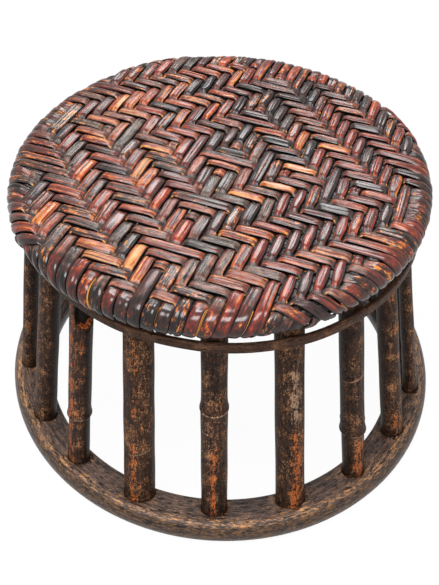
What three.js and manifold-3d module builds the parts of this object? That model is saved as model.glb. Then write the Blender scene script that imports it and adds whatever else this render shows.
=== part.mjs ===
import * as THREE from 'three';
import { mergeVertices } from 'three/addons/utils/BufferGeometryUtils.js';
import Module from 'manifold-3d';

// Bamboo stool with a plaited cane seat.
// Millimetres and degrees, +Z up, origin on the floor under the middle.

// Driving dimensions: seat
const seatRadius = 190;       // outside of the plaited rim
const seatHeight = 260.5;     // floor to the top of the plaiting
const rimRoll = 15.2;         // radius of the rolled edge, over the plaiting
const seatRingWall = 4.5;     // wood left inside the innermost tenon hole
const seatRingDepth = 16.2;   // crown of the seat ring to its level underside
const seatRingBevel = 4.5;    // on its inner top edge

// Driving dimensions: plaiting
const stripThickness = 1.8;   // crown of a strip over its flat inner face
const stripGap = 0.9;         // slit between neighbouring strips
const warpAcross = 34;        // strips that run left to right, as wide as the middle one, that fill the seat
const weftAcross = 32;        // the same for the strips that run front to back
const pitchTaper = 0.12;      // share by which the strips narrow from the middle to the far edge
const weaveTurn = -22;        // heading of the warp, from +X
const floatCount = 3;         // strips passed over, then under
const diamondWarp = 2;        // warp strip on which the diamonds turn
const rampRun = 2;            // length of a float that already slopes before the slit
const tuckAngle = 135;        // how far the strips are carried round the rim
const slantFade = 3;          // how suddenly they give up their slant where warp and weft meet on the rim
const warpBite = 0.5;         // how far the warp beds into the seat ring
const tuckDepth = 2.4;        // how deep the short warp ends are let into it
const ringEase = 1.2;         // room between the weft and the seat ring
const shareSpread = 12;       // how far from the diagonal warp and weft may share out the rim
const mostStrips = 60;        // strips tried on each side of the middle

// Driving dimensions: legs
const baseFlare = 23.4;       // how far the base ring stands out past the seat
const baseWidth = 39;         // across the base ring
const baseHeight = 24;        // floor to the crown of the base ring
const baseBelly = 12;         // floor to its widest line
const baseShoulder = 8;       // outer rounding above the widest line
const baseHeel = 7.5;         // outer rounding below it
const baseFall = 5.3;         // drop of the crown from the outer to the inner shoulder
const baseLip = 3;            // inner rounding above
const baseToe = 6.5;          // inner rounding below
const baseOvality = 0.0295;   // the base ring is out of round by this share
const ovalHeading = 104;      // direction of its long axis
const socketDepth = 9;        // depth of the foot sockets, from the crown
const tenonDiameter = 10;     // pin at the head of each post
const tenonLength = 8;
const knuckleRise = 1.1;      // a bamboo node over the culm above it
const knuckleLength = 6.5;

// Driving dimensions: binding hoop
const hoopInset = 5.2;        // inside the rim of the seat
const hoopOvality = 0.015;
const hoopHeight = 9.6;
const hoopThickness = 4.8;
const hoopTilt = 2.7;         // it hangs lower on the right

// Clearances between pieces
const seatGap = 0.3;          // between pieces that bear on each other
const bindingGap = 0.8;       // between the hoop's true circle and the posts it binds
const hoopClear = 1;          // from the seat ring's underside down to the highest point of the hoop
const slitEase = 0.15;        // between a strip and the edge it dives past
const tuckEase = 1;           // between a tucked end and the edge it hides under

// Facets
const ringFacets = 44;
const seatRingFacets = 36;
const postFacets = 12;
const tenonFacets = 6;
const notchFacets = 10;
const rollAngles = [0, 45, 90, tuckAngle];
const bedAngle = 90;          // where round the rim the warp beds into the seat ring
const trimMargin = 8;         // how far a bar runs past the plane that trims it

// Posts in order from the left, anticlockwise. Azimuths of foot and head, the ledge of base ring
// outside the foot, the two diameters, and the height of the knuckle on a bamboo culm.
const posts = [
  { foot: -176.5, head: -178, ledge: 7.6, footSize: 16.5, headSize: 15 },
  { foot: -155, head: -151, ledge: 9.4, footSize: 21.3, headSize: 19.3 },
  { foot: -135, head: -134.5, ledge: 11.7, footSize: 20, headSize: 21.3, knuckle: 82, notched: true },
  { foot: -113, head: -114, ledge: 11.4, footSize: 28.5, headSize: 26.3 },
  { foot: -91.5, head: -91.5, ledge: 13.6, footSize: 23.5, headSize: 22.6, knuckle: 146 },
  { foot: -70.5, head: -70, ledge: 12.6, footSize: 26.4, headSize: 25.4 },
  { foot: -50, head: -49, ledge: 12, footSize: 20.6, headSize: 22, knuckle: 76 },
  { foot: -31, head: -32, ledge: 8.7, footSize: 21, headSize: 18.2 },
  { foot: -14, head: -17, ledge: 7.9, footSize: 14.4, headSize: 13 },
  { foot: 6, head: 5.5, ledge: 8, footSize: 20, headSize: 19 },
  { foot: 26, head: 26, ledge: 9, footSize: 21, headSize: 21.5, knuckle: 120 },
  { foot: 45.5, head: 45, ledge: 10.5, footSize: 24, headSize: 22.5 },
  { foot: 65.5, head: 65.5, ledge: 12, footSize: 21, headSize: 22, knuckle: 95 },
  { foot: 85, head: 85, ledge: 13, footSize: 26.5, headSize: 25 },
  { foot: 105, head: 105, ledge: 13, footSize: 22, headSize: 22.5, knuckle: 135 },
  { foot: 124.5, head: 124, ledge: 11.5, footSize: 25.5, headSize: 24 },
  { foot: 144.5, head: 144.5, ledge: 9.5, footSize: 20.5, headSize: 21, knuckle: 70 },
  { foot: 164, head: 163.5, ledge: 8, footSize: 22, headSize: 20.5 },
];

// Notch near the head of the split culm
const notchHeight = 27;
const notchDepth = 9;
const notchScoop = 10.8;      // half the width of the scoop, across the culm
const notchDrop = 28;         // from the seat ring down to the middle of the notch
const notchHeading = -60;     // the side it opens to
const culmBore = 11.5;        // hollow of the bamboo behind the notch

const rad = THREE.MathUtils.degToRad;

// Sizes that follow from the driving dimensions
const baseRadius = seatRadius + baseFlare;
const hoopRadius = seatRadius - hoopInset;
const underFace = stripThickness + seatGap / 2;   // middle of the plaiting to its lower face
const weaveRoll = rimRoll - underFace;            // radius of the middle of the plaiting round the rim
const ringRoll = weaveRoll - underFace - ringEase;
const rimCentre = seatRadius - (weaveRoll - seatGap / 2);
const rimLevel = seatHeight - rimRoll;
const warpPitch = (2 * rimCentre) / warpAcross;
const weftPitch = (2 * rimCentre) / weftAcross;
const seatRingBottom = rimLevel + ringRoll - seatRingDepth;
const hoopLevel = seatRingBottom - hoopClear - hoopHeight / 2 - hoopDrop(-hoopRadius);
const socketFloor = baseHeight - socketDepth;

const wasm = await Module();
wasm.setup();

function toSolid(geometry) {
  const bare = geometry.index ? geometry.clone() : geometry.toNonIndexed();
  bare.deleteAttribute('normal');
  bare.deleteAttribute('uv');
  const merged = mergeVertices(bare, 1e-4);
  const corners = merged.index.array;
  const kept = [];
  for (let i = 0; i < corners.length; i += 3) {
    const [a, b, c] = [corners[i], corners[i + 1], corners[i + 2]];
    if (a !== b && b !== c && c !== a) kept.push(a, b, c);
  }
  return new wasm.Manifold(new wasm.Mesh({
    numProp: 3,
    vertProperties: Float32Array.from(merged.attributes.position.array),
    triVerts: Uint32Array.from(kept),
  }));
}

function toGeometry(solid) {
  const mesh = solid.getMesh();
  const geometry = new THREE.BufferGeometry();
  const points = new Float32Array(mesh.numVert * 3);
  for (let i = 0; i < mesh.numVert; i++) {
    for (let k = 0; k < 3; k++) points[3 * i + k] = mesh.vertProperties[i * mesh.numProp + k];
  }
  geometry.setAttribute('position', new THREE.BufferAttribute(points, 3));
  geometry.setIndex(new THREE.BufferAttribute(Uint32Array.from(mesh.triVerts), 1));
  geometry.computeVertexNormals();
  return geometry;
}

// Profile points on an elliptical arc
function arc([x, z], [width, height], angles) {
  return angles.map((angle) => [x + width * Math.cos(rad(angle)), z + height * Math.sin(rad(angle))]);
}

// A profile of [radius, height] pairs turned about +Z
function turned(profile, facets) {
  const points = profile.map(([radius, height]) => new THREE.Vector2(radius, height));
  const geometry = new THREE.LatheGeometry(points, facets);
  geometry.rotateX(Math.PI / 2);
  return geometry;
}

// Profiles run up the outside and back down the inside, and close on their first point
function ring(profile, facets) {
  return turned([...profile, profile[0]], facets);
}

// Stretches a round geometry along the oval's long axis
function stretched(geometry, ovality) {
  geometry.rotateZ(-rad(ovalHeading));
  geometry.scale(1 + ovality, 1 - ovality, 1);
  geometry.rotateZ(rad(ovalHeading));
  return geometry;
}

// Radius at an azimuth of a circle stretched that way
function ovalRadius(radius, ovality, azimuth) {
  const turn = rad(azimuth - ovalHeading);
  const long = radius * (1 + ovality);
  const short = radius * (1 - ovality);
  return (long * short) / Math.hypot(short * Math.cos(turn), long * Math.sin(turn));
}

function polar(radius, azimuth, z) {
  return new THREE.Vector3(radius * Math.cos(rad(azimuth)), radius * Math.sin(rad(azimuth)), z);
}

function hoopDrop(x) {
  return -Math.tan(rad(hoopTilt)) * x;
}

// Where each post stands and leans: its foot on the socket floor, its head against the seat ring
function stance(post) {
  const footRadius = ovalRadius(baseRadius, baseOvality, post.foot) - post.ledge - post.footSize / 2;
  const foot = polar(footRadius, post.foot, socketFloor);
  const hoopInside = ovalRadius(hoopRadius, hoopOvality, post.head) - hoopThickness;
  const bound = polar(hoopInside - bindingGap - post.headSize / 2, post.head, 0);
  bound.z = hoopLevel - hoopHeight / 2 + hoopDrop(bound.x);
  const lean = bound.clone().sub(foot);
  const head = foot.clone().addScaledVector(lean, (seatRingBottom - seatGap - foot.z) / lean.z);
  return { foot, head, axis: lean.normalize() };
}

// A turned bar laid along an axis
function leaningBar(profile, from, axis) {
  const geometry = turned(profile, postFacets);
  const turn = new THREE.Quaternion().setFromUnitVectors(new THREE.Vector3(0, 0, 1), axis);
  geometry.applyQuaternion(turn);
  geometry.translate(from.x, from.y, from.z);
  return toSolid(geometry);
}

function block(lowZ, highZ) {
  const geometry = new THREE.BoxGeometry(4 * baseRadius, 4 * baseRadius, highZ - lowZ);
  geometry.translate(0, 0, (lowZ + highZ) / 2);
  return toSolid(geometry);
}

function postProfile(post, length) {
  const foot = post.footSize / 2;
  const head = post.headSize / 2;
  const profile = [[0, -trimMargin], [foot, -trimMargin]];
  if (post.knuckle) {
    const middle = post.knuckle - socketFloor;
    const lip = head + knuckleRise;
    profile.push([foot, middle - knuckleLength / 2], [lip, middle - knuckleLength / 4]);
    profile.push([lip, middle + knuckleLength / 8], [head, middle + knuckleLength / 2]);
  }
  profile.push([head, length + trimMargin], [0, length + trimMargin]);
  return profile;
}

function makePost(post) {
  const { foot, head, axis } = stance(post);
  const length = head.distanceTo(foot);
  let body = leaningBar(postProfile(post, length), foot, axis);
  body = body.intersect(block(socketFloor + seatGap, head.z));
  const pin = tenonDiameter / 2;
  const tenon = new THREE.CylinderGeometry(pin, pin, 2 * tenonLength, tenonFacets);
  tenon.rotateX(Math.PI / 2);
  tenon.translate(head.x, head.y, head.z);
  body = body.add(toSolid(tenon));
  if (post.notched) body = body.subtract(notchTool(post, head, axis));
  return body;
}

// A scoop in the side of a culm, with the hollow that it opens
function notchTool(post, head, axis) {
  const middle = head.clone().addScaledVector(axis, -notchDrop / axis.z);
  const out = notchScoop + post.headSize / 2 - notchDepth;
  const scoopCentre = polar(out, notchHeading, 0).add(middle);
  const scoop = new THREE.CylinderGeometry(1, 1, 4 * notchScoop, notchFacets);
  scoop.scale(notchScoop, 1, notchHeight / 2);
  scoop.rotateZ(rad(notchHeading));
  scoop.translate(scoopCentre.x, scoopCentre.y, scoopCentre.z);
  const bore = culmBore / 2;
  const hollow = [[0, -notchHeight], [bore, -notchHeight], [bore, notchHeight / 2], [0, notchHeight / 2]];
  return toSolid(scoop).add(leaningBar(hollow, middle, axis));
}

// Base ring: flat underside, rounded outer side, crown falling away inwards, blind sockets for the feet
function makeBaseRing() {
  const inner = baseRadius - baseWidth;
  const section = [
    ...arc([baseRadius - baseHeel, baseBelly], [baseHeel, baseBelly], [-90, -45, 0]),
    ...arc([baseRadius - baseShoulder, baseBelly], [baseShoulder, baseHeight - baseBelly], [45, 90]),
    ...arc([inner + baseLip, baseBelly], [baseLip, baseHeight - baseFall - baseBelly], [90, 180]),
    ...arc([inner + baseToe, baseBelly], [baseToe, baseBelly], [225, 270]),
  ];
  let body = toSolid(stretched(ring(section, ringFacets), baseOvality));
  for (const post of posts) {
    const { foot, axis } = stance(post);
    const bore = post.footSize / 2 + seatGap;
    const profile = [[0, -trimMargin], [bore, -trimMargin], [bore, baseHeight], [0, baseHeight]];
    const cutter = leaningBar(profile, foot, axis).intersect(block(socketFloor, 2 * baseHeight));
    body = body.subtract(cutter);
  }
  return body;
}

// Binding hoop: a flat strip round the outside of the posts
function makeHoop() {
  const low = hoopLevel - hoopHeight / 2;
  const high = hoopLevel + hoopHeight / 2;
  const inside = hoopRadius - hoopThickness;
  const section = [[inside, low], [hoopRadius, low], [hoopRadius, high], [inside, high]];
  const geometry = stretched(ring(section, ringFacets), hoopOvality);
  const shear = new THREE.Matrix4().set(1, 0, 0, 0, 0, 1, 0, 0, hoopDrop(1), 0, 1, 0, 0, 0, 0, 1);
  geometry.applyMatrix4(shear);
  return toSolid(geometry);
}

// Seat ring: round where the strips roll over it, level below, with a tenon hole over each post
function makeSeatRing() {
  const heads = posts.map((post) => Math.hypot(stance(post).head.x, stance(post).head.y));
  const inner = Math.min(...heads) - tenonDiameter / 2 - seatRingWall;
  const lowest = THREE.MathUtils.radToDeg(Math.asin((seatRingBottom - rimLevel) / ringRoll));
  const top = rimLevel + ringRoll;
  const section = [
    [inner, seatRingBottom],
    ...arc([rimCentre, rimLevel], [ringRoll, ringRoll], [lowest, 0, 45, 90]),
    [inner + seatRingBevel, top],
    [inner, top - seatRingBevel],
  ];
  let body = toSolid(ring(section, seatRingFacets));
  for (const post of posts) {
    const { head } = stance(post);
    const bore = tenonDiameter / 2 + seatGap;
    const hole = new THREE.CylinderGeometry(bore, bore, 2 * (tenonLength + seatGap), tenonFacets);
    hole.rotateX(Math.PI / 2);
    hole.translate(head.x, head.y, head.z);
    body = body.subtract(toSolid(hole));
  }
  return body;
}

// Plaiting. In plan the warp runs along u and the weft along v, and both taper towards the back.
const overLevel = seatGap / 2;
const underLevel = -underFace;

// v of the warp line with a given number; whole numbers are strip centres, halves the slits
function warpLine(number) {
  const even = warpPitch * number;
  return even * (1 - (pitchTaper * even) / (2 * rimCentre));
}

// u of the weft line with a given number, where it passes v
function weftLine(number, v) {
  return weftPitch * number * (1 - (pitchTaper * v) / rimCentre);
}

// Two kinds of strip share one description: along is the coordinate it runs in
const families = {
  warp: {
    across: (number) => warpLine(number),
    point: (along, across) => [along, across],
    other: (number, across) => weftLine(number, across),
  },
  weft: {
    across: (number, along) => weftLine(number, along),
    point: (along, across) => [across, along],
    other: (number) => warpLine(number),
  },
};

// A crossing counts when the whole square that two strips share lies inside the rim
function crosses(warp, weft) {
  const corners = [-0.5, 0.5].flatMap((a) => [-0.5, 0.5].map((b) => {
    const v = warpLine(warp + a);
    return Math.hypot(weftLine(weft + b, v), v);
  }));
  return Math.max(...corners) < rimCentre;
}

function numbersInside(test) {
  const found = [];
  for (let number = -mostStrips; number <= mostStrips; number++) if (test(number)) found.push(number);
  return found;
}

const warpNumbers = numbersInside((number) => crosses(number, 0));
const weftNumbers = numbersInside((number) => crosses(0, number));

// Where a lane of a strip meets the circle on which the rim starts to roll
function rimCrossing(family, number, end) {
  let along = end * rimCentre;
  for (let pass = 0; pass < 30; pass++) {
    const across = families[family].across(number, along);
    along = end * Math.sqrt(Math.max(0, rimCentre ** 2 - across ** 2));
  }
  return along;
}

// Angle round the rim between a strip's outer edge and the family's own heading
function edgeAngle(family, number, side, end) {
  const edge = number + side * 0.5;
  const along = rimCrossing(family, edge, end);
  return Math.atan2(Math.abs(families[family].across(edge, along)), Math.abs(along));
}

// In each quarter the two families share out the rim: the split that leaves the narrowest slit wins
function shareQuarter(uEnd, vEnd) {
  let best = { left: Infinity };
  for (const warp of warpNumbers.filter((number) => number * vEnd > 0)) {
    const taken = edgeAngle('warp', warp, vEnd, uEnd);
    for (const weft of weftNumbers.filter((number) => number * uEnd > 0)) {
      const left = Math.PI / 2 - taken - edgeAngle('weft', weft, uEnd, vEnd);
      const even = Math.abs(taken - Math.PI / 4) < rad(shareSpread);
      if (even && crosses(warp, weft) && left < best.left) best = { left, warp, weft };
    }
  }
  return best;
}

const quarters = {};
for (const u of [-1, 1]) for (const v of [-1, 1]) quarters[`${u},${v}`] = shareQuarter(u, v);

function quarterOf(family, side, end) {
  return family === 'warp' ? quarters[`${end},${side}`] : quarters[`${side},${end}`];
}

// Whether a strip is carried over the rim at one of its ends, or stops on top of the seat ring
function wraps(family, number, end) {
  if (number === 0) return true;
  return Math.abs(number) <= Math.abs(quarterOf(family, Math.sign(number), end)[family]);
}

// A strip keeps its own direction as it goes round the rim, so its angle off the family's heading shrinks,
// but less and less towards the edge where the other family takes over
function slanted(family, off, end, angle) {
  const side = off < 0 ? -1 : 1;
  const edge = edgeAngle(family, quarterOf(family, side, end)[family], side, end);
  const kept = 1 - Math.abs(off / edge) ** slantFade;
  return off - (kept * Math.tan(off) * weaveRoll * rad(angle)) / rimCentre;
}

// Strips of the other family that a strip crosses, in order along it
function crossings(family, number) {
  if (family === 'warp') return weftNumbers.filter((weft) => crosses(number, weft));
  return warpNumbers.filter((warp) => crosses(warp, number));
}

// Over three, under three, stepping by one outwards from the middle, so that the steps close to diamonds.
// A strip that stops on top of the ring goes under the last strip it meets.
function warpOnTop(warp, weft) {
  const along = crossings('warp', warp);
  const across = crossings('weft', weft);
  if (weft === along.at(-1) && !wraps('warp', warp, 1)) return false;
  if (weft === along[0] && !wraps('warp', warp, -1)) return false;
  if (warp === across.at(-1) && !wraps('weft', weft, 1)) return true;
  if (warp === across[0] && !wraps('weft', weft, -1)) return true;
  const step = Math.abs(weft) + Math.abs(warp - diamondWarp);
  return step % (2 * floatCount) < floatCount;
}

function onTop(family, number, other) {
  return family === 'warp' ? warpOnTop(number, other) : !warpOnTop(other, number);
}

const turnWeave = new THREE.Matrix4().makeRotationZ(rad(weaveTurn));

// A section has three corners: left edge, crown, right edge. Each is a line with an inset and a rise.
function corners(number) {
  return [[number - 0.5, stripGap / 2, 0], [number, 0, stripThickness], [number + 0.5, -stripGap / 2, 0]];
}

// Section on the flat of the seat, where alongOf tells how far along each corner lies
function flatSection(family, number, alongOf, level) {
  const { across, point } = families[family];
  return corners(number).map(([line, inset, rise]) => {
    const near = alongOf(across(line, 0) + inset);
    const lateral = across(line, near) + inset;
    const [u, v] = point(alongOf(lateral), lateral);
    return new THREE.Vector3(u, v, rimLevel + weaveRoll + level + rise).applyMatrix4(turnWeave);
  });
}

// The same section carried round the rim by an angle
function rimSection(family, number, end, angle, level) {
  const { across, point } = families[family];
  return corners(number).map(([line, inset, rise]) => {
    const along = rimCrossing(family, line, end);
    const off = Math.atan2(across(line, along) + inset, Math.abs(along));
    const carried = slanted(family, off, end, angle);
    const [u, v] = point(end * Math.cos(carried), Math.sin(carried));
    const azimuth = Math.atan2(v, u) + rad(weaveTurn);
    const roll = weaveRoll + level + rise;
    const radius = rimCentre + roll * Math.sin(rad(angle));
    const z = rimLevel + roll * Math.cos(rad(angle));
    return new THREE.Vector3(radius * Math.cos(azimuth), radius * Math.sin(azimuth), z);
  });
}

// Edge of a crossed strip, on its high or low side, moved along by a shift
function edgeOf(family, strip, side, shift) {
  const { other } = families[family];
  return (lateral) => other(strip + side / 2, lateral) - (side * stripGap) / 2 + shift;
}

// Sections from the last crossing outwards, at the strip's low or high end
function endSections(family, number, end) {
  const met = crossings(family, number);
  const last = end > 0 ? met.at(-1) : met[0];
  const list = [];
  if (wraps(family, number, end)) {
    if (onTop(family, number, last)) {
      list.push(flatSection(family, number, edgeOf(family, last, end, -end * rampRun), overLevel));
    }
    for (const angle of rollAngles) {
      const bedded = family === 'warp' && angle === bedAngle;
      const level = underLevel - (bedded ? ringEase + warpBite : 0);
      list.push(rimSection(family, number, end, angle, level));
    }
    return list;
  }
  const sink = family === 'warp' ? tuckDepth + ringEase : 0;
  if (sink) list.push(flatSection(family, number, edgeOf(family, last, -end, 0), underLevel));
  list.push(flatSection(family, number, edgeOf(family, last, end, -end * tuckEase), underLevel - sink));
  return list;
}

// Sections of one strip from its low end to its high end, two at each slit where it changes level
function stripSections(family, number) {
  const met = crossings(family, number);
  const sections = endSections(family, number, -1).reverse();
  for (let k = 0; k + 1 < met.length; k++) {
    const here = onTop(family, number, met[k]);
    const next = onTop(family, number, met[k + 1]);
    if (here === next) continue;
    const leave = edgeOf(family, met[k], 1, here ? -rampRun : slitEase);
    const arrive = edgeOf(family, met[k + 1], -1, next ? rampRun : -slitEase);
    sections.push(flatSection(family, number, leave, here ? overLevel : underLevel));
    sections.push(flatSection(family, number, arrive, next ? overLevel : underLevel));
  }
  return [...sections, ...endSections(family, number, 1)];
}

// A strip is a closed bar of triangular section: flat inside, crowned outside
function makeStrip(family, number) {
  const sections = stripSections(family, number);
  const faces = [];
  const facing = family === 'warp' ? [2, 1, 0] : [0, 1, 2];
  sections.forEach((section, k) => {
    if (k === 0) return;
    for (let side = 0; side < 3; side++) {
      const a = 3 * (k - 1) + facing[side];
      const b = 3 * (k - 1) + facing[(side + 1) % 3];
      faces.push(a, b, b + 3, a, b + 3, a + 3);
    }
  });
  const last = 3 * (sections.length - 1);
  faces.push(facing[0], facing[2], facing[1]);
  faces.push(last + facing[0], last + facing[1], last + facing[2]);
  const geometry = new THREE.BufferGeometry().setFromPoints(sections.flat());
  geometry.setIndex(faces);
  return toSolid(geometry);
}

// Materials
const bamboo = new THREE.MeshStandardMaterial({ color: '#4a3a31', roughness: 0.5, metalness: 0 });
const wood = new THREE.MeshStandardMaterial({ color: '#45362d', roughness: 0.55, metalness: 0 });
const baseWood = new THREE.MeshStandardMaterial({ color: '#54453a', roughness: 0.55, metalness: 0 });
const darkCane = new THREE.MeshStandardMaterial({ color: '#2f241f', roughness: 0.6, metalness: 0 });
const warpCane = new THREE.MeshStandardMaterial({ color: '#6b3324', roughness: 0.35, metalness: 0 });
const weftCane = new THREE.MeshStandardMaterial({ color: '#51302a', roughness: 0.35, metalness: 0 });

const stool = new THREE.Group();

function place(name, solid, material) {
  const mesh = new THREE.Mesh(toGeometry(solid), material);
  mesh.name = name;
  stool.add(mesh);
}

const twoDigits = (number) => String(number).padStart(2, '0');

place('base_ring', makeBaseRing(), baseWood);
posts.forEach((post, k) => {
  place(`post_${twoDigits(k + 1)}`, makePost(post), post.knuckle ? bamboo : wood);
});
place('binding_hoop', makeHoop(), darkCane);

let seatRing = makeSeatRing();
for (const number of warpNumbers) seatRing = seatRing.add(makeStrip('warp', number));
place('seat_ring_and_warp', seatRing, warpCane);
weftNumbers.forEach((number, k) => {
  place(`weft_strip_${twoDigits(k + 1)}`, makeStrip('weft', number), weftCane);
});

export default stool;
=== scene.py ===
import math
import random

import bmesh
import bpy
from mathutils import Matrix, Vector, noise


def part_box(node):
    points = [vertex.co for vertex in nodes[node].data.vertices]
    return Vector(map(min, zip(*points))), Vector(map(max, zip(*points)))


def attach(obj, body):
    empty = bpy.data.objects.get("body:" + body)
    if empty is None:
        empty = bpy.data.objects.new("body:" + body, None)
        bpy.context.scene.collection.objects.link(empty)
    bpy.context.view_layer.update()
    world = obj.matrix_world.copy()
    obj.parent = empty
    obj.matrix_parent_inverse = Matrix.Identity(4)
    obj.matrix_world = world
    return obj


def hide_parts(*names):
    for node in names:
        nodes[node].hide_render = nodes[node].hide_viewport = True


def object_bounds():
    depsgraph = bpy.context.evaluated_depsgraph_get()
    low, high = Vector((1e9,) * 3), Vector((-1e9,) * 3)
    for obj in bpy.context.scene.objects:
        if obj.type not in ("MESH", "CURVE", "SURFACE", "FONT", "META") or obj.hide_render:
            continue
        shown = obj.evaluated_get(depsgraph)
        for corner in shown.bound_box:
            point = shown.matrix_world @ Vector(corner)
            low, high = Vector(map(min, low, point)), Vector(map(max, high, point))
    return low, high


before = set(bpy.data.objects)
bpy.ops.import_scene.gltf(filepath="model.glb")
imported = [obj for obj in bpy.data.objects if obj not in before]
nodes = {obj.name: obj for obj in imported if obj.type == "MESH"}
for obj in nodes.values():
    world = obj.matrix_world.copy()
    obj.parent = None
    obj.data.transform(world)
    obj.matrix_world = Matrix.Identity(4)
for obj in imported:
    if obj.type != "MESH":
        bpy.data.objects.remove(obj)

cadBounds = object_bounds()
seatTop = cadBounds[1][2]
weldDistance = 1e-6
print("frame loaded, seat top at", round(seatTop, 4))


# Small helpers

def smooth(low, high, value):
    t = max(0.0, min(1.0, (value - low) / (high - low)))
    return t * t * (3 - 2 * t)


# An angle in degrees brought between -180 and 180
def turned(degrees):
    return (degrees + 180) % 360 - 180


def headingOf(co):
    return math.degrees(math.atan2(co.y, co.x))


def makePiece(name, bm, material, slot, *stoodFor):
    mesh = bpy.data.meshes.new(name)
    for face in bm.faces:
        face.smooth = True
    bm.to_mesh(mesh)
    bm.free()
    piece = bpy.data.objects.new(name, mesh)
    bpy.context.scene.collection.objects.link(piece)
    mesh.materials.append(material)
    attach(piece, "root")
    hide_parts(*stoodFor)
    return piece


# Sweeps a closed section along stations: a grid whose rows are stations and whose columns go round
def sweep(rows):
    bm = bmesh.new()
    across = len(rows[0])
    bmesh.ops.create_grid(bm, x_segments=across, y_segments=len(rows) - 1, size=1)
    layers = {name: bm.verts.layers.float_vector.new(name) for name in ("place", "tone", "mark")}
    for vert in bm.verts:
        column = round((vert.co.x + 1) / 2 * across) % across
        row = round((vert.co.y + 1) / 2 * (len(rows) - 1))
        point = rows[row][column]
        vert.co = point["co"]
        for name, layer in layers.items():
            vert[layer] = point[name]
    bmesh.ops.remove_doubles(bm, verts=bm.verts, dist=weldDistance)
    bmesh.ops.holes_fill(bm, edges=[e for e in bm.edges if e.is_boundary], sides=0)
    bmesh.ops.recalc_face_normals(bm, faces=bm.faces)
    return bm


# Turns an outline round the upright axis; an open one begins and ends on that axis
def spinProfile(profile, steps, closed=True):
    bm = bmesh.new()
    verts = [bm.verts.new((radius, 0, z)) for radius, z in profile]
    following = verts[1:] + verts[:1] if closed else verts[1:]
    edges = [bm.edges.new(pair) for pair in zip(verts, following)]
    bmesh.ops.spin(bm, geom=verts + edges, cent=(0, 0, 0), axis=(0, 0, 1), angle=2 * math.pi,
                   steps=steps, use_merge=True)
    bmesh.ops.remove_doubles(bm, verts=bm.verts, dist=weldDistance)
    bmesh.ops.recalc_face_normals(bm, faces=bm.faces)
    return bm


def arcPoints(centre, radii, start, stop, steps):
    angles = [math.radians(start + (stop - start) * k / steps) for k in range(steps + 1)]
    return [(centre[0] + radii[0] * math.cos(a), centre[1] + radii[1] * math.sin(a)) for a in angles]


# Stores on each vertex what the shaders of the bark read
def paint(bm, placeOf, toneOf, markOf=lambda co: (1, 0, 0)):
    layers = [(bm.verts.layers.float_vector.new(name), rule)
              for name, rule in (("place", placeOf), ("tone", toneOf), ("mark", markOf))]
    for vert in bm.verts:
        for layer, rule in layers:
            vert[layer] = rule(vert.co)


def cutWith(bm, cutter):
    made = []
    for part, name in ((bm, "cutBody"), (cutter, "cutTool")):
        mesh = bpy.data.meshes.new(name)
        part.to_mesh(mesh)
        part.free()
        thing = bpy.data.objects.new(name, mesh)
        bpy.context.scene.collection.objects.link(thing)
        made.append(thing)
    body, tool = made
    modifier = body.modifiers.new("cut", "BOOLEAN")
    modifier.operation = "DIFFERENCE"
    modifier.object = tool
    modifier.solver = "EXACT"
    bpy.context.view_layer.update()
    result = bmesh.new()
    result.from_mesh(body.evaluated_get(bpy.context.evaluated_depsgraph_get()).to_mesh())
    for thing in made:
        bpy.data.objects.remove(thing)
    return result


# Colours and shader nodes

def linear(hexColor):
    channels = [int(hexColor[i:i + 2], 16) / 255 for i in (1, 3, 5)]
    return [c / 12.92 if c <= 0.04045 else ((c + 0.055) / 1.055) ** 2.4 for c in channels] + [1.0]


def addNode(tree, kind, inputs=None, **settings):
    node = tree.nodes.new(kind)
    for key, value in settings.items():
        setattr(node, key, value)
    for socket, value in (inputs or {}).items():
        if isinstance(value, bpy.types.NodeSocket):
            tree.links.new(value, node.inputs[socket])
        else:
            node.inputs[socket].default_value = value
    return node


def calculate(tree, operation, *values):
    return addNode(tree, "ShaderNodeMath", dict(enumerate(values)), operation=operation).outputs[0]


def product(tree, a, b):
    return calculate(tree, "MULTIPLY", a, b)


# The sum of its terms, where a pair stands for a value times its weight
def total(tree, *terms):
    values = [product(tree, *term) if isinstance(term, tuple) else term for term in terms]
    result = values[0]
    for value in values[1:]:
        result = calculate(tree, "ADD", result, value)
    return result


def span(tree, value, low, high, start=0.0, stop=1.0):
    return addNode(tree, "ShaderNodeMapRange", {"Value": value, "From Min": low, "From Max": high,
                                                "To Min": start, "To Max": stop}).outputs[0]


# The mixing node takes two colours at inputs 6 and 7 and gives one at output 2
def blend(tree, share, under, over):
    inputs = {0: share, 6: under, 7: over}
    inputs = {k: linear(v) if isinstance(v, str) else v for k, v in inputs.items()}
    return addNode(tree, "ShaderNodeMix", inputs, data_type="RGBA").outputs[2]


def colorRamp(tree, value, stops):
    ramp = addNode(tree, "ShaderNodeValToRGB", {"Fac": value})
    elements = ramp.color_ramp.elements
    while len(elements) < len(stops):
        elements.new(0.5)
    for element, (position, color) in zip(elements, stops):
        element.position = position
        element.color = linear(color)
    return ramp.outputs[0]


# Noise drawn out along the grain, shifted to swing about zero
def grainNoise(tree, place, scale, detail, strength, roughness=0.68):
    drawnOut = addNode(tree, "ShaderNodeMapping", {"Vector": place, "Scale": scale}).outputs[0]
    settings = {"Vector": drawnOut, "Scale": 1.0, "Detail": detail, "Roughness": roughness}
    texture = addNode(tree, "ShaderNodeTexNoise", settings)
    return calculate(tree, "MULTIPLY_ADD", texture.outputs["Fac"], strength, -strength / 2)


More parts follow.
